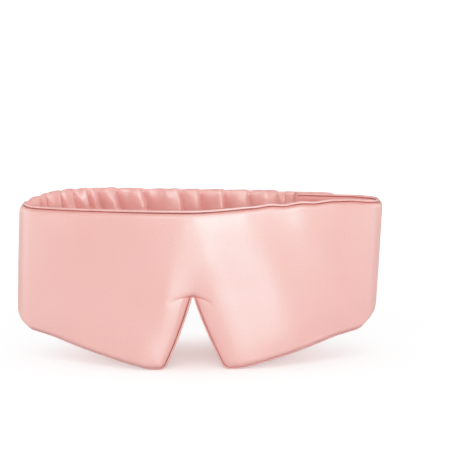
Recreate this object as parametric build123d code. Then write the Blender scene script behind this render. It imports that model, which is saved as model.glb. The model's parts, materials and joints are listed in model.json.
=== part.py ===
from build123d import *
import os
from math import cos, radians, sin, tan

# A wide wrap-around sleep mask, closed into a flattened loop and standing on the two tips beside its nose notch.
# -Y is the way the mask faces, +X is to the right as seen from in front, and +Z is up. Left and right are as seen
# from in front. The origin is the middle of the head opening, level with the surface that the tips rest on.
# Lengths are millimetres and angles are degrees.

# ---- Driving dimensions of the loop, seen from above ----
LOOP_WIDTH = 250.0  # over the two side folds
FRONT_BOW = 36.0  # how far the front panel stands forward of the origin
BACK_BOW = 46.0  # how far the back strap stands behind it
FRONT_TURN = 20.0  # half of the turn that the wide front arc makes
CLOSURE_TILT = 11.8  # the flat closure stretch leans forward by this much towards the right fold
CLOSURE_LENGTH = 44.6
CLOSURE_BEND_RADIUS = 60.0
CLOSURE_START = 48.0  # where the back leaves its straight run and bends into the closure stretch
STRAP_END_TURN = 60.0  # the strap's round left end turns by this much, so it meets the left fold at an angle
LOOP_END_RADIUS = 22.0  # of the padded end's turn behind the right fold

# ---- Driving dimensions of the fronts, seen from the front ----
MASK_HEIGHT = 110.0
SIDE_HEIGHT = 72.0  # of the front panel at the folds
STRAP_HEIGHT = 64.0  # of the strap at the middle of the back
CORNER_MID_X = 120.0  # middle of the rounded lower corner
CORNER_MID_Z = 29.6
CORNER_X = 111.0  # where the rounded corner meets the sloping lower edge
CORNER_Z = 25.0
SLOPE_MID_X = 72.0  # middle of the slightly bowed lower edge
SLOPE_MID_Z = 11.6
TIP_OUTER_X = 31.0  # the flat foot of each tip runs between these two
TIP_INNER_X = 23.0
NOTCH_HEIGHT = 51.0
NOTCH_CROWN_X = 2.2  # half width and height where the side of the notch meets its rounded crown
NOTCH_CROWN_Z = 49.2
NOTCH_MID_X = 11.5  # half width of the notch at its middle
NOTCH_MID_Z = 22.0
NOTCH_FOOT_X = 20.0  # half width of the notch where its side meets the tip's foot
NOTCH_FOOT_Z = 2.0

# ---- Cloth, wadding and fittings ----
PANEL = 9.0  # total thickness of the padded front
STRAP = 5.0  # of the ruched strap with its elastic
LOOP_END = 6.0  # of the padded end that carries the loop tape
TAB = 2.4
SATIN = 0.6  # satin with its fused backing
TAPE = 1.1  # hook tape, and loop tape
TAPE_GAP = 0.3  # between the hooks and the loops
PIPING = 2.0
PIPING_FLANGE = 2.2  # how deep the piping reaches between the two satins
BLACKOUT = 0.8
ELASTIC = 1.5
ELASTIC_HEIGHT = 50.0
INTERLINING = 0.7
CLEAR = 0.15  # between neighbouring layers
SNUG = 0.05  # between the interlining and the satin round it
SPLIT = 0.1  # half of the gap where two bodies meet
FOLD_RELIEF = 10.5  # each side of a fold is cut back by this angle, so that the loop can press flat
FOLD_OVERCUT = 0.5  # how far the relief runs past the fold's axis, so that the two bodies part cleanly

# ---- Closing tab, on the closure stretch; lengths run along it from where the ruching ends ----
TAB_ROOT = 8.0
TAB_LENGTH = 35.0
TAB_HEIGHT = 64.0
TAB_CORNER = 12.0
LOOP_END_START = 10.0  # where the padded end's tip lies
HOOK_SIZE = (28.0, 48.0)
LOOP_SIZE = (33.0, 52.0)
LOOP_SHIFT = 2.5  # the loop tape's middle lies this much nearer to the fold than the hook tape's
TAPE_CORNER = 3.0
STITCH = (3.0, 0.5, 0.3)  # length, width and how far a stitch stands proud
STITCH_PITCH = 4.2
STITCH_INSET = 2.5
ROOT_ROW_GAP = 3.0  # between the two rows of stitches across the tab's root

# ---- Worked out from the dimensions above ----
HALF = LOOP_WIDTH / 2
NOSE_Y = PANEL - FRONT_BOW  # the nose fold turns about the panel's inner face
BACK_Y = BACK_BOW - STRAP  # the back fold turns about the strap's inner face
SIDE_Y = (NOSE_Y + BACK_Y) / 2  # midway, so that the four folds are the corners of a rhombus
TOP = MASK_HEIGHT
FAR = 200.0  # beyond the mask in any direction

turn = radians(FRONT_TURN)
end_turn = 90.0 - FRONT_TURN
# The wide arc and the small end arc have to reach x = HALF and y = 0 together.
FRONT_RADIUS = (HALF * cos(turn) - FRONT_BOW * (1 - sin(turn))) / (
    sin(turn) * cos(turn) - (1 - cos(turn)) * (1 - sin(turn))
)
END_RADIUS = (FRONT_BOW - FRONT_RADIUS * (1 - cos(turn))) / cos(turn)

tilt = radians(CLOSURE_TILT)
closure_x = CLOSURE_START + CLOSURE_BEND_RADIUS * sin(tilt)
closure_y = BACK_BOW - CLOSURE_BEND_RADIUS * (1 - cos(tilt))
CLOSURE = Plane(
    origin=(closure_x, closure_y, 0),
    x_dir=(cos(tilt), -sin(tilt), 0),
    z_dir=(-sin(tilt), -cos(tilt), 0),
)  # local x runs towards the tab's free end, y is up and z points into the loop


def trace(start, heading, moves, inset):
    """Edges of a path seen from above, moved by inset towards its left. A move is ("line", length) or
    ("arc", radius, turn), and every arc turns left."""
    angle = radians(heading)
    x = start[0] - inset * sin(angle)
    y = start[1] + inset * cos(angle)
    edges = []
    for move in moves:
        if move[0] == "line":
            end = (x + move[1] * cos(angle), y + move[1] * sin(angle))
            edges.append(Line((x, y), end))
        else:
            radius = move[1] - inset
            centre = (x - radius * sin(angle), y + radius * cos(angle))
            edges.append(CenterArc(centre, radius, heading - 90, move[2]))
            heading += move[2]
            angle = radians(heading)
            end = (centre[0] + radius * sin(angle), centre[1] - radius * cos(angle))
        x, y = end
    return edges


def wall(path, outer, inner):
    """A tall wall on a path, between two insets, much taller than the mask."""
    near = trace(*path, outer)
    far = trace(*path, inner)
    ends = [Line(near[0] @ 0, far[0] @ 0), Line(near[-1] @ 1, far[-1] @ 1)]
    face = make_face(Wire(near + far + ends))
    return Pos(0, 0, -FAR / 2) * extrude(face, amount=2 * FAR)


def cut_by(solid, outline, inset=0.0):
    """The part of a wall that lies behind a front-view outline, pulled in all round by inset."""
    face = offset(outline, amount=-inset) if inset else outline
    return solid & extrude(Plane.XZ * face, amount=FAR, both=True)


def fold_wedge(x, y, direction):
    """The relief at a fold: a thin prism that opens from the fold's axis in a plan-view direction."""
    reach = 3 * PANEL
    spread = reach * tan(radians(FOLD_RELIEF)) + SPLIT
    back = -FOLD_OVERCUT
    wedge = Polyline((back, SPLIT), (reach, spread), (reach, -spread), (back, -SPLIT), close=True)
    prism = Pos(0, 0, -FAR / 2) * extrude(make_face(wedge), amount=2 * FAR)
    return Pos(x, y, 0) * Rot(0, 0, direction) * prism


# ---- Paths seen from above: the loop's inside is always on the left ----
FRONT_PATH = (
    (-HALF, SIDE_Y),
    -90,
    [
        ("line", SIDE_Y),
        ("arc", END_RADIUS, end_turn),
        ("arc", FRONT_RADIUS, 2 * FRONT_TURN),
        ("arc", END_RADIUS, end_turn),
        ("line", SIDE_Y),
    ],
)
# From the closure stretch: the bend, the straight back and the round left end, ending at the left fold.
strap_end_radius = (BACK_BOW - SIDE_Y) / (1 - cos(radians(STRAP_END_TURN)))
strap_straight = CLOSURE_START + HALF - strap_end_radius * sin(radians(STRAP_END_TURN))
STRAP_PATH = (
    (closure_x, closure_y),
    180 - CLOSURE_TILT,
    [
        ("arc", CLOSURE_BEND_RADIUS, CLOSURE_TILT),
        ("line", strap_straight),
        ("arc", strap_end_radius, STRAP_END_TURN),
    ],
)
# The loop end leaves the right fold, turns behind the wearer's ear and runs flat under the closing tab.
LOOP_END_INSET = TAB + 2 * TAPE + TAPE_GAP
tab_end_x = closure_x + CLOSURE_LENGTH * cos(tilt)
tab_end_y = closure_y - CLOSURE_LENGTH * sin(tilt)
loop_end_rise = (
    tab_end_y
    - (LOOP_END_RADIUS + LOOP_END_INSET - (tab_end_x - HALF + LOOP_END_RADIUS) * sin(tilt)) / cos(tilt)
)
loop_end_flat = (
    (HALF - LOOP_END_RADIUS + LOOP_END_RADIUS * sin(tilt) - closure_x + LOOP_END_INSET * sin(tilt)) / cos(tilt)
    - LOOP_END_START
)
LOOP_END_PATH = (
    (HALF, SIDE_Y),
    90,
    [
        ("line", loop_end_rise - SIDE_Y),
        ("arc", LOOP_END_RADIUS, 90 - CLOSURE_TILT),
        ("line", loop_end_flat),
    ],
)


def half_outline(side):
    """One half of the front panel's outline, from the middle of the top edge to the notch, with its seam line set
    in from the piping's outer edge by half the piping."""
    proud = PIPING / 2
    top = TOP - proud
    foot = proud
    side_bottom = (side * (HALF + proud), TOP - SIDE_HEIGHT)
    beyond = (side * FAR, TOP - SIDE_HEIGHT)
    edge = [
        Line((0, top), (side * FAR, top)),
        Line((side * FAR, top), beyond),
        Line(beyond, side_bottom),
        ThreePointArc(side_bottom, (side * CORNER_MID_X, CORNER_MID_Z), (side * CORNER_X, CORNER_Z)),
        ThreePointArc(
            (side * CORNER_X, CORNER_Z),
            (side * SLOPE_MID_X, SLOPE_MID_Z),
            (side * TIP_OUTER_X, foot),
        ),
        Line((side * TIP_OUTER_X, foot), (side * TIP_INNER_X, foot)),
        Line((side * TIP_INNER_X, foot), (side * NOTCH_FOOT_X, foot + NOTCH_FOOT_Z)),
        ThreePointArc(
            (side * NOTCH_FOOT_X, foot + NOTCH_FOOT_Z),
            (side * NOTCH_MID_X, NOTCH_MID_Z),
            (side * NOTCH_CROWN_X, NOTCH_CROWN_Z),
        ),
    ]
    return edge


notch_crown = ThreePointArc((-NOTCH_CROWN_X, NOTCH_CROWN_Z), (0, NOTCH_HEIGHT), (NOTCH_CROWN_X, NOTCH_CROWN_Z))
FRONT_OUTLINE = make_face(Wire(half_outline(-1) + half_outline(1) + [notch_crown]))

side_bottom = TOP - SIDE_HEIGHT
back_bottom = TOP - STRAP_HEIGHT
strap_end = HALF + STRAP  # the bowed lower edge runs a little past the folds
STRAP_OUTLINE = make_face(
    Wire(
        [
            Line((-strap_end, TOP), (strap_end, TOP)),
            Line((strap_end, TOP), (strap_end, side_bottom)),
            ThreePointArc((strap_end, side_bottom), (0, back_bottom), (-strap_end, side_bottom)),
            Line((-strap_end, side_bottom), (-strap_end, TOP)),
        ]
    )
)
LOOP_END_OUTLINE = offset(STRAP_OUTLINE, amount=-PIPING / 2)
strap_middle = (TOP + back_bottom) / 2

NOSE_WEDGE = fold_wedge(0, NOSE_Y, -90)
BACK_WEDGE = fold_wedge(0, BACK_Y, 90)
SIDE_WEDGES = [fold_wedge(-HALF, SIDE_Y, 0), fold_wedge(HALF, SIDE_Y, 180)]


def lengthened(path):
    """The same path with a short straight run added at each end."""
    start, heading, moves = path
    angle = radians(heading)
    run = ("line", PANEL)
    return (start[0] - PANEL * cos(angle), start[1] - PANEL * sin(angle)), heading, [run, *moves, run]


def casing(path, outline, near, far):
    """One half of a sewn cover: the satin face at inset near, with its edge turned in as far as inset far."""
    low, high = sorted((near, far))
    block = cut_by(wall(path, low, high), outline)
    hollow_from = near + SATIN if near < far else far - SATIN
    hollow_to = far + SATIN if near < far else near - SATIN
    return block - cut_by(wall(lengthened(path), hollow_from, hollow_to), outline, SATIN)


# ---- Front panel: the same layers on both halves, each in one piece before the nose fold parts them ----
def front_outer_satin():
    return casing(FRONT_PATH, FRONT_OUTLINE, 0.0, (PANEL - PIPING) / 2 - CLEAR)


def front_lining():
    return casing(FRONT_PATH, FRONT_OUTLINE, PANEL, (PANEL + PIPING) / 2 + CLEAR)


def edge_piping(path, outline, middle, bottom, top):
    """A cord of satin between two covers, at inset middle, standing proud of their seam. Bottom and top are the
    heights it keeps between."""
    strip = wall(path, middle - PIPING / 2, middle + PIPING / 2)
    edge = offset(outline, amount=PIPING / 2) - offset(outline, amount=-PIPING_FLANGE)
    band = Pos(0, (bottom + top) / 2, 0) * Rectangle(2 * FAR, top - bottom)
    return strip & extrude(Plane.XZ * (edge & band), amount=FAR, both=True)


def front_filling(near, far):
    return cut_by(wall(FRONT_PATH, near, far), FRONT_OUTLINE, PIPING_FLANGE + CLEAR)


def halves(solid, wedges):
    """The right and the left half of a layer, parted where it folds."""
    for wedge in wedges:
        solid = solid - wedge
    right = Pos(FAR, 0, 0) * Box(2 * FAR, 4 * FAR, 4 * FAR)
    left = Pos(-FAR, 0, 0) * Box(2 * FAR, 4 * FAR, 4 * FAR)
    return {"left": solid & left, "right": solid & right}


def front_parts():
    blackout_near = PANEL - SATIN - CLEAR - BLACKOUT
    layers = {
        "outer_satin": front_outer_satin(),
        "lining_satin": front_lining(),
        "top_piping": edge_piping(FRONT_PATH, FRONT_OUTLINE, PANEL / 2, TOP - SIDE_HEIGHT / 2, TOP),
        "lower_piping": edge_piping(FRONT_PATH, FRONT_OUTLINE, PANEL / 2, 0, TOP - SIDE_HEIGHT / 2),
        "wadding": front_filling(SATIN + CLEAR, blackout_near - CLEAR),
        "blackout_layer": front_filling(blackout_near, blackout_near + BLACKOUT),
    }
    parts = {}
    for name, layer in layers.items():
        for side, piece in halves(layer, [NOSE_WEDGE] + SIDE_WEDGES).items():
            parts[f"{name}_{side}"] = piece
    return parts


# ---- Ruched strap: a satin tube over a wide elastic ----
def strap_parts():
    elastic_near = (STRAP - ELASTIC) / 2
    elastic_outline = Pos(0, strap_middle, 0) * Rectangle(2 * FAR, ELASTIC_HEIGHT)
    seam = STRAP / 2
    layers = {
        "sleeve_outer": casing(STRAP_PATH, STRAP_OUTLINE, 0.0, seam - CLEAR / 2),
        "sleeve_inner": casing(STRAP_PATH, STRAP_OUTLINE, STRAP, seam + CLEAR / 2),
        "elastic_band": cut_by(wall(STRAP_PATH, elastic_near, elastic_near + ELASTIC), elastic_outline),
    }
    # The strap stops short of the plane in which it is sewn to the front panel.
    front_side = Pos(0, SIDE_Y + SPLIT - FAR, 0) * Box(4 * FAR, 2 * FAR, 4 * FAR)
    parts = {}
    for name, layer in layers.items():
        for side, piece in halves(layer - front_side, [BACK_WEDGE, SIDE_WEDGES[0]]).items():
            parts[f"{name}_{side}"] = piece
    return parts


# ---- Closure stretch: everything flat, on the closure plane ----
def on_closure(sketch, depth, thickness):
    return extrude(CLOSURE.offset(depth) * sketch, amount=thickness)


def tab_sketch(length, height, shrink=0.0):
    """The closing tab's outline: square where it joins the strap, rounded at its free end."""
    start = TAB_ROOT + 2 * SPLIT + shrink
    end = TAB_ROOT + length - shrink
    half = height / 2 - shrink
    corner = TAB_CORNER - shrink
    edges = Wire(
        [
            Line((start, -half), (end - corner, -half)),
            CenterArc((end - corner, -half + corner), corner, -90, 90),
            Line((end, -half + corner), (end, half - corner)),
            CenterArc((end - corner, half - corner), corner, 0, 90),
            Line((end - corner, half), (start, half)),
            Line((start, half), (start, -half)),
        ]
    )
    return Pos(0, strap_middle, 0) * make_face(edges)


def tape_sketch(size, centre):
    return Pos(centre, strap_middle, 0) * RectangleRounded(*size, TAPE_CORNER)


def stitch_row(start, end, depth, spread):
    """Separate stitches in a straight row between two points of the closure plane."""
    dx, dy = end[0] - start[0], end[1] - start[1]
    run = (dx**2 + dy**2) ** 0.5
    count = int(run / STITCH_PITCH)
    upright = abs(dy) > abs(dx)
    size = (STITCH[1], STITCH[0]) if upright else (STITCH[0], STITCH[1])
    stitches = []
    for i in range(count):
        share = (i + 0.5) / count
        place = Pos(start[0] + dx * share, start[1] + dy * share + strap_middle, 0)
        stitches += on_closure(place * Rectangle(*size), depth, spread).solids()
    return stitches


def stitched_frame(centre, size, depth, spread):
    """Four rows of stitches that hold a tape by its edges."""
    half_x = size[0] / 2 - STITCH_INSET
    half_y = size[1] / 2 - STITCH_INSET
    low_x, high_x = centre - half_x, centre + half_x
    rows = [
        ((low_x, -half_y), (high_x, -half_y)),
        ((low_x, half_y), (high_x, half_y)),
        ((low_x - STITCH[1], -half_y + 1), (low_x - STITCH[1], half_y - 1)),
        ((high_x + STITCH[1], -half_y + 1), (high_x + STITCH[1], half_y - 1)),
    ]
    stitches = []
    for start, end in rows:
        stitches += stitch_row(start, end, depth, spread)
    return Compound(stitches)


TAB_CENTRE = TAB_ROOT + TAB_LENGTH / 2


def tab_root_parts():
    """Where the elastic ends: a flat fold of satin between the ruching and the tab."""
    sketch = Pos(TAB_ROOT / 2, strap_middle, 0) * Rectangle(TAB_ROOT - 2 * SPLIT, TAB_HEIGHT)
    reach = TAB_HEIGHT / 2 - STITCH_INSET
    rows = []
    for x in ((TAB_ROOT - ROOT_ROW_GAP) / 2, (TAB_ROOT + ROOT_ROW_GAP) / 2):
        rows += stitch_row((x, -reach), (x, reach), -STITCH[2], STITCH[2])
    return {"tab_root_satin": on_closure(sketch, 0, TAB), "tab_root_stitches": Compound(rows)}


def closing_tab_parts():
    layer = (TAB - INTERLINING) / 2
    outline = tab_sketch(TAB_LENGTH, TAB_HEIGHT)
    inside = tab_sketch(TAB_LENGTH, TAB_HEIGHT, SATIN)
    core = on_closure(inside, layer + SNUG, INTERLINING - 2 * SNUG)
    pocket = on_closure(inside, layer, INTERLINING)
    middle = TAB / 2
    outer = on_closure(outline, 0, middle) - pocket
    inner = on_closure(outline, middle, middle) - pocket
    return {
        "tab_outer_satin": outer,
        "tab_inner_satin": inner,
        "tab_interlining": core,
        "hook_tape": on_closure(tape_sketch(HOOK_SIZE, TAB_CENTRE), TAB, TAPE),
        "hook_tape_stitches": stitched_frame(TAB_CENTRE, HOOK_SIZE, -STITCH[2], STITCH[2]),
    }


def loop_end_parts():
    """The short padded end on the other side, with the loop tape on its outer face."""
    middle = LOOP_END / 2
    seam = PIPING / 2 + CLEAR
    filling = wall(LOOP_END_PATH, SATIN + CLEAR, LOOP_END - SATIN - CLEAR)
    layers = {
        "loop_end_outer_satin": casing(LOOP_END_PATH, LOOP_END_OUTLINE, 0.0, middle - seam),
        "loop_end_lining": casing(LOOP_END_PATH, LOOP_END_OUTLINE, LOOP_END, middle + seam),
        "loop_end_wadding": cut_by(filling, LOOP_END_OUTLINE, PIPING_FLANGE + CLEAR),
        "loop_end_top_piping": edge_piping(LOOP_END_PATH, LOOP_END_OUTLINE, middle, strap_middle, TOP),
        "loop_end_lower_piping": edge_piping(LOOP_END_PATH, LOOP_END_OUTLINE, middle, 0, strap_middle),
    }
    parts = {name: layer - SIDE_WEDGES[1] for name, layer in layers.items()}
    tape_centre = TAB_CENTRE + LOOP_SHIFT
    tape = on_closure(tape_sketch(LOOP_SIZE, tape_centre), LOOP_END_INSET - TAPE, TAPE)
    stitches = stitched_frame(tape_centre, LOOP_SIZE, LOOP_END_INSET + LOOP_END, STITCH[2])
    return {**parts, "loop_tape": tape, "loop_tape_stitches": stitches}


def main():
    os.makedirs("parts", exist_ok=True)
    parts = {
        **front_parts(),
        **strap_parts(),
        **tab_root_parts(),
        **closing_tab_parts(),
        **loop_end_parts(),
    }
    for name, shape in parts.items():
        export_step(shape, f"parts/{name}.step")


main()
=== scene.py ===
"""Looks of a satin wrap-around sleep mask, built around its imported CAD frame.

Shapes are worked out in millimetres and written in metres. A point of cloth is a distance along the loop,
a height, and an inset from the loop's outer surface towards the wearer.
"""

import json
import math

import bmesh
import bpy
import numpy as np
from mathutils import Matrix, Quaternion, Vector


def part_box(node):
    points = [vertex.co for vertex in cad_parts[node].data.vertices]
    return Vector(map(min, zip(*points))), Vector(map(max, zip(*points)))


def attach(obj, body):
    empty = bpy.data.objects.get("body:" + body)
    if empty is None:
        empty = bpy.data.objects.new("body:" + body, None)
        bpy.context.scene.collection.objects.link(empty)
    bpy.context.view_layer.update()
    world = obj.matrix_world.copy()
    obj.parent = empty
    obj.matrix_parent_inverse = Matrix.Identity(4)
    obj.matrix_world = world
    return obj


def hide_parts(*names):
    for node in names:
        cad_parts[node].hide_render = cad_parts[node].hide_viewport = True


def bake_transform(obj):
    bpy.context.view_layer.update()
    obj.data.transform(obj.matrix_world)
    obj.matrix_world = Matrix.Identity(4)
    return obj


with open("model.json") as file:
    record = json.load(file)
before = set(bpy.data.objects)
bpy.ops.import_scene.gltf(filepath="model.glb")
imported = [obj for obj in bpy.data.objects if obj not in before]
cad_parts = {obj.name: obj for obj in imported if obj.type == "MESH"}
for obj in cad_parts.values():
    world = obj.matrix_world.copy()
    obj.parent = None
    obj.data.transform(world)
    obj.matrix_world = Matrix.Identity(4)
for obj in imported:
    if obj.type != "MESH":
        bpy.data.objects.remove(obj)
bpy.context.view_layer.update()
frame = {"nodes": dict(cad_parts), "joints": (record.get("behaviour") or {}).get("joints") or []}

MM = 0.001
JOINTS = {joint["name"]: joint for joint in frame["joints"]}


def joint_place(name):
    return np.array(JOINTS[name]["pos_m"]) / MM


def node_box(name):
    low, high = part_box(name)
    return np.array(low) / MM, np.array(high) / MM


# ---- Dimensions read from the frame ----
NOSE = joint_place("nose_fold")
BACK = joint_place("back_fold")
FOLD = joint_place("right_side_fold")
HALF = FOLD[0]
SIDE_Y = FOLD[1]
FRONT_BOW = -node_box("outer_satin_left")[0][1]
BACK_BOW = node_box("sleeve_outer_left")[1][1]
PANEL = NOSE[1] + FRONT_BOW
STRAP = BACK_BOW - BACK[1]
TOP = node_box("top_piping_left")[1][2]
SIDE_BOTTOM = node_box("sleeve_outer_left")[0][2]
BACK_BOTTOM = node_box("tab_root_satin")[0][2]
TAB_AXIS = np.array(JOINTS["strap_stretch"]["axis"])
TILT = math.degrees(math.asin(-TAB_AXIS[1]))
PEEL = joint_place("tab_peel")

# ---- Design dimensions shared with the CAD model ----
PIPING = 2.0
FRONT_TURN = 20.0
CLOSURE_LENGTH = 44.6
CLOSURE_BEND_RADIUS = 60.0
STRAP_END_TURN = 60.0
TAB_ROOT = 8.0
TAB = 2.4
TAPE = 1.1
TAPE_GAP = 0.3
LOOP_END = 6.0
LOOP_END_RADIUS = 22.0
LOOP_END_START = 10.0


# ---- Paths seen from above ----
LEAN = (3.0, -1.5)  # how far the folds stand to the right at their top and at their foot


class Path:
    """Straight runs and left-hand arcs along the loop's outer surface. The cloth leans towards the folds,
    from a certain distance off the middle."""

    def __init__(self, start, heading, moves, lean_from):
        self.lean_from = lean_from
        x, y = start
        angle = math.radians(heading)
        self.runs = []
        self.length = 0.0
        for kind, size, *turn in moves:
            radius = size if kind == "arc" else None
            self.runs.append((self.length, x, y, angle, radius))
            if kind == "line":
                self.length += size
                x += size * math.cos(angle)
                y += size * math.sin(angle)
            else:
                after = angle + math.radians(turn[0])
                self.length += size * math.radians(turn[0])
                x += size * (math.sin(after) - math.sin(angle))
                y -= size * (math.cos(after) - math.cos(angle))
                angle = after

    def at(self, distance, inset):
        """x and y of points that many millimetres along, and inset towards the wearer."""
        distance, inset = np.broadcast_arrays(np.asarray(distance, float), np.asarray(inset, float))
        x, y = np.zeros(distance.shape), np.zeros(distance.shape)
        ends = [run[0] for run in self.runs[1:]] + [np.inf]
        for number, (begin, x0, y0, angle, radius) in enumerate(self.runs):
            begin_here = begin if number else -np.inf
            here = (distance >= begin_here) & (distance < ends[number])
            along, depth = distance[here] - begin, inset[here]
            if radius is None:
                x[here] = x0 + along * math.cos(angle) - depth * math.sin(angle)
                y[here] = y0 + along * math.sin(angle) + depth * math.cos(angle)
            else:
                turned = angle + along / radius
                x[here] = x0 - radius * math.sin(angle) + (radius - depth) * np.sin(turned)
                y[here] = y0 + radius * math.cos(angle) - (radius - depth) * np.cos(turned)
        return x, y

    def place(self, distance, height, inset):
        x, y = self.at(distance, inset)
        low = (TOP - height) / (TOP - SIDE_BOTTOM)
        lean = LEAN[0] + (LEAN[1] - LEAN[0]) * low
        x = x + lean * smooth(self.lean_from, HALF, np.abs(x))
        return np.stack([x, y, np.broadcast_to(height, x.shape)], axis=-1)


def front_path():
    turn = math.radians(FRONT_TURN)
    bow = FRONT_BOW
    radius = (HALF * math.cos(turn) - bow * (1 - math.sin(turn))) / (
        math.sin(turn) * math.cos(turn) - (1 - math.cos(turn)) * (1 - math.sin(turn))
    )
    end_radius = (bow - radius * (1 - math.cos(turn))) / math.cos(turn)
    end = ("arc", end_radius, 90 - FRONT_TURN)
    side = ("line", SIDE_Y)
    return Path((-HALF, SIDE_Y), -90, [side, end, ("arc", radius, 2 * FRONT_TURN), end, side], 40.0)


PEEL_GAP = 0.1
CLOSURE = (PEEL - TAB_AXIS * (TAB_ROOT + PEEL_GAP)) * (1, 1, 0)
INWARD = np.array([TAB_AXIS[1], -TAB_AXIS[0], 0.0])
CLOSURE_START = CLOSURE[0] - CLOSURE_BEND_RADIUS * math.sin(math.radians(TILT))


def strap_path():
    """From the closure, along the back, to the left fold."""
    turn = math.radians(STRAP_END_TURN)
    radius = (BACK_BOW - SIDE_Y) / (1 - math.cos(turn))
    straight = CLOSURE_START + HALF - radius * math.sin(turn)
    moves = [("arc", CLOSURE_BEND_RADIUS, TILT), ("line", straight), ("arc", radius, STRAP_END_TURN)]
    return Path(CLOSURE[:2], 180 - TILT, moves, 100.0)


def loop_end_path():
    """From the right fold, behind the wearer's ear, to the tip that lies under the closing tab."""
    depth = TAB + 2 * TAPE + TAPE_GAP
    tilt = math.radians(TILT)
    end = CLOSURE + TAB_AXIS * CLOSURE_LENGTH
    radius = LOOP_END_RADIUS
    rise = end[1] - (radius + depth - (end[0] - HALF + radius) * math.sin(tilt)) / math.cos(tilt)
    flat = (HALF - radius + radius * math.sin(tilt) - CLOSURE[0] + depth * math.sin(tilt)) / math.cos(tilt)
    moves = [("line", rise - SIDE_Y), ("arc", radius, 90 - TILT), ("line", flat - LOOP_END_START)]
    return Path((HALF, SIDE_Y), 90, moves, 108.0)


FRONT = front_path()
STRAP_RUN = strap_path()
LOOP_RUN = loop_end_path()


def on_closure(along, height, depth):
    """Points on the flat closure stretch, in millimetres."""
    along, height, depth = np.broadcast_arrays(*[np.asarray(v, float) for v in (along, height, depth)])
    points = CLOSURE + along[..., None] * TAB_AXIS + depth[..., None] * INWARD
    points[..., 2] = height
    return points


# ---- Small numerical helpers ----
def smooth(low, high, value):
    """0 below low, 1 above high, and an S-curve in between."""
    share = np.clip((np.asarray(value, float) - low) / (high - low), 0, 1)
    return share * share * (3 - 2 * share)


def waves(seed, position, count, shortest, longest):
    """A smooth uneven line: sines of seeded lengths and phases, about -1 to 1."""
    draw = np.random.default_rng(seed)
    lengths = shortest + (longest - shortest) * draw.random(count)
    phases = draw.random(count) * 2 * math.pi
    position = np.asarray(position, float)[..., None]
    return np.sin(2 * math.pi * position / lengths + phases).sum(axis=-1) / math.sqrt(2 * count)


def through(a, b, c, count):
    """Points on the circle arc from a through b to c."""
    (x, y), radius = circle(a, b, c)
    angles = [math.atan2(p[1] - y, p[0] - x) for p in (a, b, c)]
    turn = (angles[2] - angles[0]) % (2 * math.pi)
    if (angles[1] - angles[0]) % (2 * math.pi) > turn:
        turn -= 2 * math.pi
    t = angles[0] + turn * np.linspace(0, 1, count)
    return np.stack([x + radius * np.cos(t), y + radius * np.sin(t)], axis=-1)


def circle(a, b, c):
    """Centre and radius of the circle through three points."""
    a, b, c = (np.array(p, float) for p in (a, b, c))
    d = 2 * (a[0] * (b[1] - c[1]) + b[0] * (c[1] - a[1]) + c[0] * (a[1] - b[1]))
    squares = [p @ p for p in (a, b, c)]
    x = (squares[0] * (b[1] - c[1]) + squares[1] * (c[1] - a[1]) + squares[2] * (a[1] - b[1])) / d
    y = (squares[0] * (c[0] - b[0]) + squares[1] * (a[0] - c[0]) + squares[2] * (b[0] - a[0])) / d
    return (x, y), math.hypot(a[0] - x, a[1] - y)


def resample(line, shares):
    """Points at these shares of a polyline's length."""
    steps = np.linalg.norm(np.diff(line, axis=0), axis=1)
    along = np.concatenate([[0], np.cumsum(steps)])
    along /= along[-1]
    return np.stack([np.interp(shares, along, line[:, k]) for k in range(line.shape[1])], axis=-1)


def crowded(count, ends):
    """count + 1 shares from 0 to 1 that crowd towards both ends by the factor ends."""
    share = np.linspace(0, 1, count + 1)
    return share - ends * np.sin(2 * math.pi * share) / (2 * math.pi)


def distance_to(line, points):
    """How far each point is from a polyline."""
    flat = points.reshape(-1, 2)
    best = np.full(len(flat), 1e9)
    for a, b in zip(line[:-1], line[1:]):
        run = b - a
        share = np.clip(((flat - a) @ run) / max(run @ run, 1e-12), 0, 1)
        best = np.minimum(best, np.linalg.norm(flat - a - share[:, None] * run, axis=1))
    return best.reshape(points.shape[:-1])


# ---- Mesh helpers ----
def new_piece(name, points, faces, slot, uv=None, painted_shade=None, material=None):
    """A smooth mesh from millimetre points, in its slot's material unless another is given. uv is each
    point's place on the cloth, in millimetres, and the painted shade is 1 where a point lies deep in a fold
    or a seam and shade is painted into its colour."""
    mesh = bpy.data.meshes.new(name)
    mesh.from_pydata((np.asarray(points) * MM).tolist(), [], [tuple(int(i) for i in f) for f in faces])
    mesh.validate()
    mesh.shade_smooth()
    if uv is not None:
        layer = mesh.uv_layers.new(name="cloth")
        corner = np.zeros(len(mesh.loops), np.int32)
        mesh.loops.foreach_get("vertex_index", corner)
        layer.data.foreach_set("uv", (np.asarray(uv)[corner] * MM).astype(np.float32).ravel())
    if painted_shade is not None:
        depth = mesh.attributes.new("painted_shade", "FLOAT", "POINT")
        depth.data.foreach_set("value", np.asarray(painted_shade, np.float32).ravel())
    mesh.materials.append(material or MATERIALS[slot])
    piece = bpy.data.objects.new(name, mesh)
    bpy.context.scene.collection.objects.link(piece)
    return piece if slot else piece


def grid_faces(rows, columns, first=0, close=False):
    """Quads of a grid whose points are stored row by row. close joins the last column to the first."""
    width = columns if close else columns - 1
    i, j = np.meshgrid(np.arange(rows - 1), np.arange(width), indexing="ij")
    a = first + i * columns + j
    b = first + i * columns + (j + 1) % columns
    return np.stack([a, b, b + columns, a + columns], axis=-1).reshape(-1, 4)


def closed_tube(rings, sides, first=0):
    """Faces of a tube whose points are stored ring by ring, with both ends closed."""
    last = first + (rings - 1) * sides
    ends = [list(range(first, first + sides))[::-1], list(range(last, last + sides))]
    return grid_faces(rings, sides, first, close=True).tolist() + ends


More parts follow.
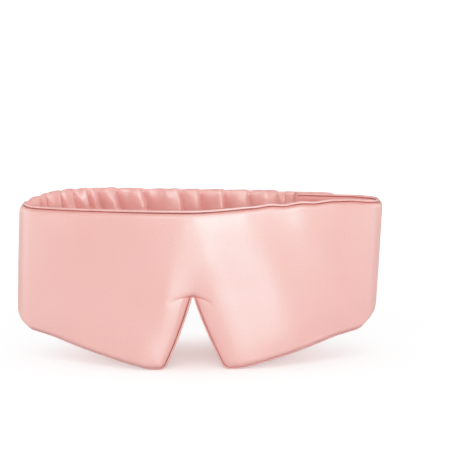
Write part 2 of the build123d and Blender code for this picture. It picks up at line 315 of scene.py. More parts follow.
def thicken(piece, thickness=0.6):
    """Gives an open sheet its cloth thickness, inwards, and smooths it."""
    shell = piece.modifiers.new("thickness", "SOLIDIFY")
    shell.thickness = thickness * MM
    shell.offset = -1
    shell.use_rim = True
    finer = piece.modifiers.new("finer", "SUBSURF")
    finer.levels = finer.render_levels = 1
    graph = bpy.context.evaluated_depsgraph_get()
    mesh = bpy.data.meshes.new_from_object(piece.evaluated_get(graph))
    old = piece.data
    piece.modifiers.clear()
    piece.data = mesh
    bpy.data.meshes.remove(old)
    return piece


CORD_SHADE_TURN = (-0.1, 0.3)  # how far a cord's surface turns inward where the shade painted on its seam side starts and is full
CORD_SIDES = 16
CORD_UNEVENNESS = 0.05


def piping(name, line, inward):
    """A cord round a line of points, with rounded ends. Its side that faces inward lies deep in the seam,
    and shade is painted on it there."""
    radius = PIPING / 2
    ahead = np.gradient(line, axis=0)
    ahead /= np.linalg.norm(ahead, axis=1)[:, None]
    across = np.cross(ahead, [0.0, 0.0, 1.0])
    side_on = np.linalg.norm(across, axis=1) < 0.25
    across[side_on] = np.cross(ahead[side_on], [0.0, 1.0, 0.0])
    for k in range(1, len(across)):
        across[k] -= ahead[k] * (across[k] @ ahead[k])
        if across[k] @ across[k - 1] < 0:
            across[k] *= -1
        blended = 0.7 * across[k - 1] + 0.3 * across[k] / max(np.linalg.norm(across[k]), 1e-9)
        blended -= ahead[k] * (blended @ ahead[k])
        across[k] = blended / np.linalg.norm(blended)
    across[0] /= np.linalg.norm(across[0])
    up = np.cross(ahead, across)
    steps = np.linalg.norm(np.diff(line, axis=0), axis=1)
    along = np.concatenate([[0], np.cumsum(steps)])
    size = radius * (1 + CORD_UNEVENNESS * waves(5, along, 4, 3.0, 11.0))
    size[0] = size[-1] = radius * 0.35
    angle = np.linspace(0, 2 * math.pi, CORD_SIDES, endpoint=False)
    ring = np.cos(angle)[None, :, None] * across[:, None, :] + np.sin(angle)[None, :, None] * up[:, None, :]
    points = (line[:, None, :] + size[:, None, None] * ring).reshape(-1, 3)
    painted_shade = smooth(*CORD_SHADE_TURN, (ring * inward[:, None, :]).sum(axis=-1))
    faces = closed_tube(len(line), CORD_SIDES)
    uv = np.stack([np.repeat(along, CORD_SIDES), np.tile(angle * radius, len(line))], axis=-1)
    return new_piece(name, points, faces, "satin_piping", uv, painted_shade)


# ---- Materials ----
def rgb(red, green, blue):
    """A colour given on a 0 to 255 scale, as the linear values that Blender wants."""
    linear = [((c / 255 + 0.055) / 1.055) ** 2.4 if c > 10 else c / 255 / 12.92 for c in (red, green, blue)]
    return (*linear, 1.0)


# Width and length of the painted shade lines along the puckers.
PUCKER_WIDTH = 0.75
PUCKER_LENGTH = 16.0


class Look:
    """A material under construction. add() makes a node, sets its inputs and returns its output."""

    def __init__(self, name):
        self.material = bpy.data.materials.new(name)
        self.material.use_nodes = True
        self.nodes = self.material.node_tree.nodes
        self.links = self.material.node_tree.links
        self.surface = next(n for n in self.nodes if n.type == "BSDF_PRINCIPLED")

    def feed(self, node, inputs):
        for name, value in inputs.items():
            socket = node.inputs[name]
            if isinstance(value, bpy.types.NodeSocket):
                self.links.new(value, socket)
            else:
                socket.default_value = value

    def add(self, kind, inputs=None, output=0, **settings):
        node = self.nodes.new(kind)
        for name, value in settings.items():
            setattr(node, name, value)
        self.feed(node, inputs or {})
        return node.outputs[output]

    def set(self, **inputs):
        self.feed(self.surface, {name.replace("_", " "): value for name, value in inputs.items()})

    def cloth_place(self, stretch=(1, 1, 1)):
        place = self.add("ShaderNodeUVMap", uv_map="cloth")
        return self.add("ShaderNodeMapping", {"Vector": place, "Scale": stretch})

    def noise(self, place, scale, detail=2.0, rough=0.5):
        inputs = {"Vector": place, "Scale": scale, "Detail": detail, "Roughness": rough}
        return self.add("ShaderNodeTexNoise", inputs)

    def between(self, share, low, high):
        return self.add("ShaderNodeMapRange", {"Value": share, "To Min": low, "To Max": high})

    def mix(self, share, one, other):
        node = self.nodes.new("ShaderNodeMix")
        node.data_type = "RGBA"
        self.feed(node, {0: share, 6: one, 7: other})
        return node.outputs[2]

    def math(self, operation, one, other):
        return self.add("ShaderNodeMath", {0: one, 1: other}, operation=operation)

    def bump(self, height, distance_mm, strength=1.0, normal=None):
        inputs = {"Height": height, "Distance": distance_mm * MM, "Strength": strength}
        if normal is not None:
            inputs["Normal"] = normal
        return self.add("ShaderNodeBump", inputs)

    def pucker(self, place, arc):
        """1 on a thin arc that starts at its first point, fading along it and to both sides."""
        start = Vector((*arc[0], 0.0)) * MM
        centre, radius = circle(*arc)
        middle = Vector((*centre, 0.0)) * MM
        away = self.add("ShaderNodeVectorMath", {0: place, 1: middle}, output=1, operation="DISTANCE")
        off = self.math("ABSOLUTE", self.math("SUBTRACT", away, radius * MM), 0.0)
        run = self.add("ShaderNodeVectorMath", {0: place, 1: start}, output=1, operation="DISTANCE")
        across = self.add("ShaderNodeSeparateXYZ", {0: place})
        own_side = self.math("GREATER_THAN" if start.x > 0 else "LESS_THAN", across, start.x)
        line = self.math("MULTIPLY", self.fade(off, 0.0, PUCKER_WIDTH * MM), own_side)
        return self.math("MULTIPLY", line, self.fade(run, 0.2 * PUCKER_LENGTH * MM, PUCKER_LENGTH * MM))

    def fade(self, value, full, none):
        inputs = {"Value": value, "From Min": full, "From Max": none, "To Min": 1.0, "To Max": 0.0}
        return self.add("ShaderNodeMapRange", inputs, interpolation_type="SMOOTHSTEP")

    def threads(self, place, pitch_mm, direction):
        """Ridges of threads, one every pitch: a wave texture of scale 1 has a ridge every 0.314."""
        inputs = {"Vector": place, "Scale": 0.314 / (pitch_mm * MM)}
        return self.add("ShaderNodeTexWave", inputs, output=1, bands_direction=direction)


FOLD_PINK = (0.66, 0.185, 0.155, 1.0)  # satin seen by light that has bounced about in a fold


def satin(name, light, deep, gloss=0.36, puckers=()):
    """Satin: long floating threads, a soft sheen along them, and slight unevenness. Shade is painted into
    creased places, which are also duller. puckers are thin arcs, each given by three points on the cloth,
    along which shade is painted."""
    look = Look(name)
    place = look.cloth_place()
    broad = look.noise(place, 16.0, 2.0)
    slubs = look.noise(look.cloth_place((1.0, 26.0, 1.0)), 160.0, 3.0)
    grain = look.noise(place, 1500.0, 1.0)
    shade = look.math("ADD", look.math("MULTIPLY", broad, 0.75), look.math("MULTIPLY", slubs, 0.25))
    cloth = look.mix(look.between(shade, -0.6, 1.6), deep, light)
    cloth = look.mix(look.between(grain, -0.65, 0.95), cloth, look.mix(0.5, deep, FOLD_PINK))
    # Painted shade: the mesh's painted shade attribute, and thin lines along the puckers, darken the colour
    # towards the pink of a shaded fold.
    painted_shade = look.add("ShaderNodeAttribute", output=2, attribute_name="painted_shade")
    for arc in puckers:
        painted_shade = look.math("MAXIMUM", painted_shade, look.pucker(place, arc))
    look.set(Base_Color=look.mix(painted_shade, cloth, FOLD_PINK))
    look.set(Roughness=look.between(slubs, gloss - 0.04, gloss + 0.06))
    look.set(**{"IOR": 1.8, "Specular IOR Level": look.between(painted_shade, 1.0, 0.25)})
    look.set(**{"Anisotropic": 0.85, "Anisotropic Rotation": 0.25})
    look.set(Tangent=look.add("ShaderNodeTangent", direction_type="UV_MAP", uv_map="cloth"))
    look.set(**{"Sheen Weight": 0.12, "Sheen Roughness": 0.4, "Sheen Tint": rgb(255, 214, 208)})
    weave = look.math("MULTIPLY", look.threads(place, 0.22, "DIAGONAL"), look.threads(place, 0.30, "Y"))
    fine = look.bump(weave, 0.03, 0.5)
    rumple = look.noise(look.cloth_place((1.0, 0.45, 1.0)), 95.0, 3.0, 0.55)
    look.set(Normal=look.bump(rumple, 0.22, 0.6, fine))
    return look.material


def matted(name, light, deep, rumple_mm, scale):
    """Loose white filling: a tangle of fibres."""
    look = Look(name)
    place = look.cloth_place()
    tangle = look.noise(place, scale, 6.0, 0.7)
    look.set(Base_Color=look.mix(tangle, deep, light), Roughness=0.95)
    look.set(**{"Sheen Weight": 0.3, "Specular IOR Level": 0.2})
    look.set(Normal=look.bump(tangle, rumple_mm))
    return look.material


def ribbed(name, light, deep, rib_mm, cross_mm, depth_mm, rough=0.8):
    """Woven or knitted goods with ribs one way and finer threads across them."""
    look = Look(name)
    place = look.cloth_place()
    ribs = look.threads(place, rib_mm, "Y")
    cross = look.threads(place, cross_mm, "X")
    height = look.math("ADD", look.math("MULTIPLY", ribs, 0.7), look.math("MULTIPLY", cross, 0.3))
    uneven = look.noise(place, 240.0, 3.0)
    look.set(Base_Color=look.mix(look.math("MULTIPLY", height, uneven), deep, light), Roughness=rough)
    look.set(**{"Sheen Weight": 0.15, "Normal": look.bump(height, depth_mm)})
    return look.material


PINK = rgb(251, 190, 183)
DEEP_PINK = rgb(247, 180, 172)
# Two thin folds at the top of the notch, each as three points of an arc. They dent the front a little, and
# shade is painted along them.
NOTCH_PUCKERS = (
    ((-0.8, 51.4), (-7.0, 51.4), (-15.6, 47.2)),
    ((0.8, 51.4), (6.5, 50.7), (12.0, 47.6)),
)
FRONT_SATIN = satin("front_satin", PINK, DEEP_PINK, puckers=NOTCH_PUCKERS)
MATERIALS = {
    "rose_satin": satin("rose_satin", PINK, DEEP_PINK),
    "satin_lining": satin("satin_lining", rgb(249, 185, 178), rgb(244, 173, 165), 0.42),
    "satin_piping": satin("satin_piping", rgb(247, 200, 194), rgb(242, 184, 177), 0.32),
    "wadding": matted("wadding", rgb(246, 244, 240), rgb(228, 224, 218), 0.6, 900.0),
    "blackout_cloth": ribbed("blackout_cloth", rgb(52, 50, 54), rgb(30, 29, 32), 0.5, 0.4, 0.05),
    "elastic_webbing": ribbed("elastic_webbing", rgb(240, 232, 226), rgb(214, 202, 196), 1.4, 0.6, 0.25),
    "interlining": ribbed("interlining", rgb(240, 238, 234), rgb(220, 216, 210), 0.4, 0.4, 0.04),
    "hook_tape": ribbed("hook_tape", rgb(233, 206, 200), rgb(214, 180, 174), 1.5, 1.5, 0.08, 0.5),
    "loop_tape": matted("loop_tape", rgb(240, 202, 196), rgb(222, 172, 165), 0.5, 1500.0),
    "sewing_thread": ribbed("sewing_thread", rgb(240, 178, 171), rgb(222, 150, 143), 0.25, 0.5, 0.06, 0.45),
}


# ---- The padded front as a flat pattern: distance from the middle line, and height ----
SEAM_TOP = TOP - PIPING / 2
SEAM_FOOT = PIPING / 2
HALF_RUN = FRONT.length / 2
TIP_MIDDLE_X = 27.0
TIP_OUTER_X = 31.0
TIP_INNER_X = 23.0
SLOPE_MIDDLE = (72.0, 11.6)
CORNER = (111.0, 25.0)
CORNER_MIDDLE = (120.0, 29.6)
NOTCH_FOOT = (20.0, 3.0)
NOTCH_MIDDLE = (11.5, 22.0)
NOTCH_CROWN = (1.6, 49.6)
NOTCH_TOP = (0.0, 51.3)
LOW_ROWS = 28
HIGH_ROWS = 26
COLUMNS = 72
CROWD = 0.6


# How far the top edge of the right wing is pushed up, at distances from the middle.
RIGHT_LIFT_PLACES = (0.0, 12.0, 28.0, 45.0, 62.0, 80.0, 93.0, 108.0, 124.0, 138.0)
RIGHT_LIFT = (0.0, 0.2, 1.2, 2.4, 3.2, 3.7, 4.4, 3.9, 1.7, 0.0)
FOLD_RISE = 0.6  # of the top edge at the folds
CORNER_DROP = 3.0  # of the lower edge where it turns back towards the folds
CORNER_SOFTNESS = 19  # points of the lower edge that its rounding reaches


def top_wave(position):
    """How far the front's top edge stands off its level line, by the distance from the middle."""
    ripple = waves(3, position, 4, 16.0, 30.0) * smooth(15, 40, position) * (1 - smooth(95, 120, position))
    end = smooth(105, 140, np.abs(position))
    return np.interp(position, RIGHT_LIFT_PLACES, RIGHT_LIFT) + 0.45 * ripple + FOLD_RISE * end


def lower_edge():
    slope = through((TIP_OUTER_X, SEAM_FOOT), SLOPE_MIDDLE, CORNER, 40)
    corner = through(CORNER, CORNER_MIDDLE, (HALF + PIPING / 2, SIDE_BOTTOM), 24)
    outline = np.concatenate([[(TIP_MIDDLE_X, SEAM_FOOT)], slope, corner[1:]])
    runs = np.linspace(TIP_MIDDLE_X, HALF_RUN, 260)
    x = FRONT.at(HALF_RUN + runs, 0.0)[0]
    height = np.interp(x, outline[:, 0], outline[:, 1])
    meet = smooth(HALF_RUN - 1.6 * SIDE_Y, HALF_RUN, runs)
    height = height - CORNER_DROP * smooth(HALF_RUN - 48, HALF_RUN - 20, runs)
    soft = np.hanning(2 * CORNER_SOFTNESS + 1)[1:-1] / CORNER_SOFTNESS
    rounded = np.convolve(np.pad(height, CORNER_SOFTNESS - 1, "edge"), soft, "valid")
    height = height + (rounded - height) * smooth(HALF_RUN - 60, HALF_RUN - 40, runs)
    return np.stack([runs, height + (SIDE_BOTTOM + 0.6 - height) * meet], axis=-1)


def notch_edge():
    """From the middle of a tip's foot, up one side of the notch, to its top."""
    side = through(NOTCH_FOOT, NOTCH_MIDDLE, NOTCH_CROWN, 30)
    crown = through(NOTCH_CROWN, NOTCH_TOP, (-NOTCH_CROWN[0], NOTCH_CROWN[1]), 17)[1:9]
    foot = [(TIP_MIDDLE_X, SEAM_FOOT), (TIP_INNER_X, SEAM_FOOT)]
    return np.concatenate([foot, side, crown])


def top_edge(side):
    runs = np.linspace(0, HALF_RUN, 200)
    return np.stack([runs, SEAM_TOP + top_wave(side * runs)], axis=-1)


def shifted(line, amount):
    """A line moved to its left."""
    ahead = np.gradient(line, axis=0)
    ahead /= np.linalg.norm(ahead, axis=1)[:, None]
    return line + amount * np.stack([-ahead[:, 1], ahead[:, 0]], axis=-1)


def wing(side, margin):
    """One wing's points, row by row from its lower edge up; columns run from the notch to the fold."""
    lower = shifted(lower_edge(), margin)
    notch = shifted(notch_edge(), -margin)
    top = shifted(top_edge(side), -margin)
    lower[0] = notch[0] = (TIP_MIDDLE_X, SEAM_FOOT + margin)
    notch[-1, 0] = top[0, 0] = 0.0
    low, high = crowded(LOW_ROWS, CROWD), crowded(HIGH_ROWS, CROWD)
    t = crowded(LOW_ROWS + HIGH_ROWS, CROWD)[:, None, None]
    s = crowded(COLUMNS, CROWD)[None, :, None]
    middle = resample(np.array([notch[-1], top[0]]), high)
    inner = np.concatenate([resample(notch, low), middle[1:]])[:, None]
    outer = lower[-1] + (top[-1] - lower[-1]) * t
    below = resample(lower, s[0, :, 0])[None]
    above = resample(top, s[0, :, 0])[None]
    corners = (1 - t) * ((1 - s) * lower[0] + s * lower[-1]) + t * ((1 - s) * top[0] + s * top[-1])
    return (1 - t) * below + t * above + (1 - s) * inner + s * outer - corners


def roll(share):
    """Quarter-round rise from 0 to 1."""
    return np.sqrt(1 - (1 - np.clip(share, 0, 1)) ** 2)


def dent(line, place, width):
    """1 along a line of points, fading with the distance from it."""
    return np.exp(-((distance_to(np.array(line), place) / width) ** 2))


SEAM_HALF = 0.85
SET_BACK = 0.6  # how far the covers stop short of the cord's middle
FRONT_FILLING_SET_BACK = 2.8
NOTCH_ROLL = 4.6
NOTCH_FALL = 1.5
NOTCH_FALL_REACH = 15.0
EDGE_ROLL = 3.6
FOLD_TAPER = 14.0
# Shade painted along the seams: how dark, and how far it reaches.
SEAM_SHADE = 0.35
SEAM_SHADE_WIDTH = 0.9
RIDGE_HEIGHT = 3.0
RIDGE_REACH = 62.0
# The line where the front is turned over a little: distance from the middle, at heights.
RIDGE_HEIGHTS = (0.0, 24.0, 50.0, 73.0, 110.0)
RIDGE_PLACES = (-36.0, -27.0, -16.0, -7.5, -2.0)


def ridge(position, height):
    """The front stands out most along one slanting line, and falls away evenly on both sides."""
    off = position - np.interp(height, RIDGE_HEIGHTS, RIDGE_PLACES)
    tent = np.clip(1 - np.sqrt((off / RIDGE_REACH) ** 2 + 0.0016) + 0.04, 0, 1)
    return RIDGE_HEIGHT * tent * tent * (3 - 2 * tent) ** 0.5


def panel_insets(side, place):
    """Insets of the outer and the inner cloth of the front at points of one wing."""
    across, height = place[..., 0], place[..., 1]
    position = side * across
    notch_gap = np.maximum(distance_to(notch_edge(), place) - SET_BACK, 0)
    edge_gap = np.minimum(distance_to(lower_edge(), place), distance_to(top_edge(side), place))
    edge_gap = np.maximum(edge_gap - SET_BACK, 0)
    shoulder = roll(notch_gap / NOTCH_ROLL) * roll(edge_gap / EDGE_ROLL)
    gap = np.minimum(notch_gap, edge_gap)
    fall = NOTCH_FALL * np.clip(1 - notch_gap / NOTCH_FALL_REACH, 0, 1) ** 2
    half = SEAM_HALF + (PANEL / 2 - SEAM_HALF - fall) * shoulder + 0.45 * (1 - np.exp(-gap / 15))
    taper = smooth(HALF_RUN - FOLD_TAPER, HALF_RUN, across)
    strip = STRAP if side < 0 else LOOP_END
    middle = seam_middle(side, across)
    fold_half = SEAM_HALF + (strip / 2 + 0.2 - SEAM_HALF) * roll(edge_gap / EDGE_ROLL)
    half = half + (fold_half - half) * taper
    settle = 1 - smooth(HALF_RUN - 40, HALF_RUN - 5, across)
    lift = ridge(position, height) * settle
    broad = 0.35 * waves(11, position + 0.4 * height, 4, 35.0, 80.0) * settle
    pucker = waves(17, position + 0.3 * height, 6, 5.0, 13.0) * np.exp(-edge_gap / 4)
    pucker = pucker * smooth(0.0, 1.5, edge_gap)
    hollows = waves(19, position - 0.3 * height, 4, 20.0, 60.0) * shoulder
    outer = middle - half - lift - broad * shoulder - 0.22 * pucker
    inner = middle + half - 0.7 * lift + 0.25 * pucker + 0.3 * hollows
    spot = np.stack([position, height], axis=-1)
    dimple = dent([(2.5, 56.0), (3.0, 64.0)], spot, 7.0)
    fade = 1 - smooth(8, 20, np.abs(position))
    pleats = sum(dent(through(*arc, 9), spot, 1.2) for arc in NOTCH_PUCKERS)
    outer = outer + 0.3 * dimple + 0.45 * fade * pleats
    # Shade painted along the seams.
    painted_shade = SEAM_SHADE * np.exp(-((gap / SEAM_SHADE_WIDTH) ** 2))
    return outer, inner, painted_shade


def front_sheets(margin):
    """The whole front as one sheet: pattern points, insets of the outer and inner cloth, how much shade is
    painted on it along its seams, and quads."""
    wings = {side: wing(side, margin) for side in (1, -1)}
    insets = {side: panel_insets(side, wings[side]) for side in (1, -1)}
    rows, columns = wings[1].shape[:2]
    right = np.arange(rows * columns).reshape(rows, columns)
    left = right + rows * columns
    left[LOW_ROWS:, 0] = right[LOW_ROWS:, 0]
    grid = grid_faces(rows, columns)
    quads = right.ravel()[grid]
    other = left.ravel()[grid[:, [0, 3, 2, 1]]]
    used, faces = np.unique(np.concatenate([quads, other]), return_inverse=True)
    pattern = np.concatenate([(wings[side] * (side, 1)).reshape(-1, 2) for side in (1, -1)])[used]
    sheets = [np.concatenate([insets[side][k].ravel() for side in (1, -1)])[used] for k in range(3)]
    return pattern, *sheets, faces.reshape(-1, 4)


def rim(faces):
    """Edges that only one quad uses, in that quad's direction."""
    edges = np.concatenate([faces[:, [k, (k + 1) % 4]] for k in range(4)])
    keys, first, count = np.unique(np.sort(edges, axis=1), axis=0, return_index=True, return_counts=True)
    return edges[first[count == 1]]


def closed_pad(faces, size):
    """Quads that join an outer sheet, its inner copy, and their rims."""
    edge = rim(faces)
    sides = np.stack([edge[:, 1], edge[:, 0], edge[:, 0] + size, edge[:, 1] + size], axis=-1)
    return np.concatenate([faces, faces[:, ::-1] + size, sides])


# ---- Cloth simulation ----
SIM_SCALE = 0.01  # metres in the simulation for a millimetre of the mask
SIM_FRAMES = 20
SIM_PRESSURE = 1.0
SIM_SMOOTHING = 14
SWELL_CAP = 1.0  # millimetres that a point may move


def swell(points, faces, hold):
    """How far each point of a closed pad moves when its cloth, cut a little full, is blown up from inside.
    hold is 1 where the cloth is sewn down and small where it is free. The cloth is ten times larger than
    life, as Blender's cloth is too stiff at the size of a mask."""
    mesh = bpy.data.meshes.new("swelling_pad")
    mesh.from_pydata((points * SIM_SCALE).tolist(), [], faces.tolist())
    pad = bpy.data.objects.new("swelling_pad", mesh)
    scene = bpy.context.scene
    scene.collection.objects.link(pad)
    group = pad.vertex_groups.new(name="hold")
    for index, weight in enumerate(hold.tolist()):
        group.add([index], weight, "REPLACE")
    cloth = pad.modifiers.new("cloth", "CLOTH")
    settings = cloth.settings
    settings.quality = 4
    settings.mass = 0.3
    settings.tension_stiffness = settings.compression_stiffness = 12.0
    settings.shear_stiffness = 4.0
    settings.bending_stiffness = 1.0
    settings.effector_weights.gravity = 0.0
    settings.use_pressure = True
    settings.uniform_pressure_force = SIM_PRESSURE
    settings.shrink_min = -0.002
    settings.vertex_group_mass = "hold"
    settings.pin_stiffness = 1.0
    cloth.collision_settings.use_collision = False
    cloth.point_cache.frame_start, cloth.point_cache.frame_end = 1, SIM_FRAMES
    for number in range(1, SIM_FRAMES + 1):
        scene.frame_set(number)
    settled = pad.evaluated_get(bpy.context.evaluated_depsgraph_get())
    moved = np.zeros(len(points) * 3, np.float32)
    settled.data.vertices.foreach_get("co", moved)
    scene.frame_set(1)
    bpy.data.objects.remove(pad)
    bpy.data.meshes.remove(mesh)
    move = moved.reshape(-1, 3) / SIM_SCALE - points
    edges = np.concatenate([faces[:, [k, (k + 1) % 4]] for k in range(4)])
    count = np.bincount(edges.ravel(), minlength=len(points))[:, None]
    for _ in range(SIM_SMOOTHING):
        total = np.zeros_like(move)
        np.add.at(total, edges[:, 0], move[edges[:, 1]])
        np.add.at(total, edges[:, 1], move[edges[:, 0]])
        move = np.where(hold[:, None] > 0.99, move, 0.3 * move + 0.7 * total / count)
    reach = np.linalg.norm(move, axis=1, keepdims=True)
    return move * np.minimum(1, SWELL_CAP / np.maximum(reach, 1e-6))


def bend_at_nose(piece, node):
    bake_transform(piece)
    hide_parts(f"{node}_left", f"{node}_right")


def front_hold(pattern):
    """1 where the front's cloth is sewn down, and small where it is free to swell."""
    across = np.abs(pattern[:, 0])
    place = np.stack([across, pattern[:, 1]], axis=-1)
    seams = [distance_to(edge, place) for edge in (notch_edge(), lower_edge())]
    seam_gap = np.minimum.reduce([*seams, SEAM_TOP - pattern[:, 1]])
    hold = np.maximum(0.15, 1 - smooth(1.1, 5.6, seam_gap))
    return np.maximum(hold, 1 - smooth(1.0, 16.0, HALF_RUN - across))


def build_front():
    pattern, outer, inner, painted_shade, faces = front_sheets(SET_BACK)
    run = HALF_RUN + pattern[:, 0]
    sheets = np.concatenate([FRONT.place(run, pattern[:, 1], inset) for inset in (outer, inner)])
    hold = np.tile(front_hold(pattern), 2)
    sheets = sheets + swell(sheets, closed_pad(faces, len(pattern)), hold)
    front, back = np.split(sheets, 2)
    cover = new_piece("front_outer_satin", front, faces, "rose_satin", pattern, painted_shade, FRONT_SATIN)
    lining = new_piece("front_lining_satin", back, faces[:, ::-1], "satin_lining", pattern)
    for piece, node in ((cover, "outer_satin"), (lining, "lining_satin")):
        bend_at_nose(thicken(piece), node)


def build_front_filling():
    pattern, outer, inner, painted_shade, faces = front_sheets(FRONT_FILLING_SET_BACK)
    run = HALF_RUN + pattern[:, 0]
    layers = (
        ("front_wadding", "wadding", "wadding", outer + 1.1, inner - 2.3),
        ("front_blackout_layer", "blackout_layer", "blackout_cloth", inner - 2.1, inner - 1.3),
    )
    for name, node, slot, near, far in layers:
        points = np.concatenate([FRONT.place(run, pattern[:, 1], depth) for depth in (near, far)])
        piece = new_piece(name, points, closed_pad(faces, len(pattern)), slot, np.tile(pattern, (2, 1)))
        bend_at_nose(piece, node)


def seam_middle(side, across):
    """Inset of the front's seam: the middle of the pad, and of the strip beside it at the fold."""
    strip = STRAP if side < 0 else LOOP_END
    return PANEL / 2 + (strip / 2 - PANEL / 2) * smooth(HALF_RUN - FOLD_TAPER, HALF_RUN, across)


def piping_line(half_line, count, turn):
    """A cord's middle line from fold to fold, from its pattern line on one wing, and the way into the panel
    at its points. turn is 1 where the panel lies to the left of that pattern line, and -1 to its right."""
    lines, ways = [], []
    for side in (-1, 1):
        line = resample(half_line(side), np.linspace(0, 1, count))
        lift = ridge(side * line[:, 0], line[:, 1]) * (1 - smooth(HALF_RUN - 40, HALF_RUN - 5, line[:, 0]))
        inset = seam_middle(side, line[:, 0]) - 0.85 * lift
        points = FRONT.place(HALF_RUN + side * line[:, 0], line[:, 1], inset)
        beyond = shifted(line, 0.1 * turn)
        way = FRONT.place(HALF_RUN + side * beyond[:, 0], beyond[:, 1], inset) - points
        way /= np.linalg.norm(way, axis=1)[:, None]
        lines.append(points[::-1] if side < 0 else points[1:])
        ways.append(way[::-1] if side < 0 else way[1:])
    return np.concatenate(lines), np.concatenate(ways)


def notch_and_lower_edge(side):
    return np.concatenate([notch_edge()[::-1], lower_edge()[1:]])


def build_front_piping():
    top = piping("front_top_piping", *piping_line(top_edge, 130, -1))
    bend_at_nose(top, "top_piping")
    lower = piping("front_lower_piping", *piping_line(notch_and_lower_edge, 210, 1))
    bend_at_nose(lower, "lower_piping")


build_front()
build_front_filling()
build_front_piping()


# ---- Ruched strap: a satin tube gathered over a wide elastic ----
SLEEVE_TOP = TOP - 0.6
SLEEVE_CORE = 1.15
SLEEVE_FULLNESS = 1.6  # how much longer its cloth is than the strap
INNER_CREST = 4.2
OUTER_CREST = 3.6
SMALL_CREST = 0.9
GATHER_LEAN = 0.22
ELASTIC = 1.5
# Where the deep gathers of the face towards the wearer begin and end, by x along the back.
INNER_GATHERS = (56.0, 34.5, 16.5, -0.5, -14.5, -40.5, -60.0, -74.0, -81.5, -91.5, -101.0, -110.5, -116.0)
INNER_SKEWS = (0.42, 0.62)
INNER_FULLNESS = (0.45, 0.85)  # at the top edge, and well below it
# Shade painted in the valleys of the gathers: on the face towards the wearer, and on the outer face.
INNER_VALLEY_SHADE = 0.22
OUTER_VALLEY_SHADE = 0.45
RING = 96
STATION = 0.8
FIRST_STATION = -1.5


# How far the strap's top stands above the front's, by x.
STRAP_RISE_X = (-125.0, -119.0, -110.0, -95.0, -75.0, -40.0, 0.0, 35.0, 60.0)
STRAP_RISE = (0.0, 2.0, 3.6, 4.2, 4.0, 2.8, 2.0, 1.2, 0.3)


def strap_lower_edge(x):
    """Height of the bowed lower edge that the strap and the loop end share."""
    end = HALF + STRAP
    arc = through((-end, SIDE_BOTTOM), (0.0, BACK_BOTTOM), (end, SIDE_BOTTOM), 61)
    return np.interp(x, arc[:, 0], arc[:, 1])


def strap_middle(along):
    """Inset of the strap's middle, which comes outwards to meet the tab's root."""
    return STRAP / 2 - 1.3 * (1 - smooth(1, 14, along))


def strap_distance(x):
    """How far along the strap's path this x is reached."""
    along = np.linspace(0, STRAP_RUN.length, 600)
    return np.interp(-np.asarray(x, float), -STRAP_RUN.at(along, 0.0)[0], along)


def random_gathers(seed, start, end, shortest, longest):
    """Uneven steps from start to end."""
    draw = np.random.default_rng(seed)
    places = [start]
    while places[-1] < end:
        places.append(places[-1] + shortest + (longest - shortest) * draw.random())
    return places


def gathered(seed, edges, place, tallest, share=0.36, skews=(0.75, 1.35), fullness=0.62):
    """How far gathered cloth stands up: 0 in each valley, and a crest between two valleys. A skew below 1
    moves the crest to the start of its stretch, and a low fullness makes broad crests with narrow
    valleys."""
    draw = np.random.default_rng(seed)
    edges = np.asarray(edges, float)
    width = np.diff(edges)
    crest = np.minimum(share * width, tallest) * (0.75 + 0.35 * draw.random(len(width)))
    skew = skews[0] + (skews[1] - skews[0]) * draw.random(len(width))
    number = np.clip(np.searchsorted(edges, place) - 1, 0, len(width) - 1)
    across = np.clip((place - edges[number]) / width[number], 0, 1) ** skew[number]
    return crest[number] * (4 * across * (1 - across)) ** fullness


def inner_valley_shade(edges, place, below):
    """How much shade is painted on the face towards the wearer: each shaded valley opens downwards from a
    point under the top edge, sharp on one side and soft on the other."""
    edges = np.asarray(edges, float)
    number = np.clip(np.searchsorted(edges, place) - 1, 0, len(edges) - 2)
    width = edges[number + 1] - edges[number]
    opening = np.minimum(0.6 * width, 10.5) * (0.15 + 0.85 * smooth(0, 12, below))
    soft = 1 - smooth(0.1, 1.0, (edges[number + 1] - place) / opening)
    sharp = 1 - smooth(0.0, 1.4, place - edges[number])
    return np.clip(INNER_VALLEY_SHADE * soft + 0.5 * INNER_VALLEY_SHADE * sharp, 0, 1)


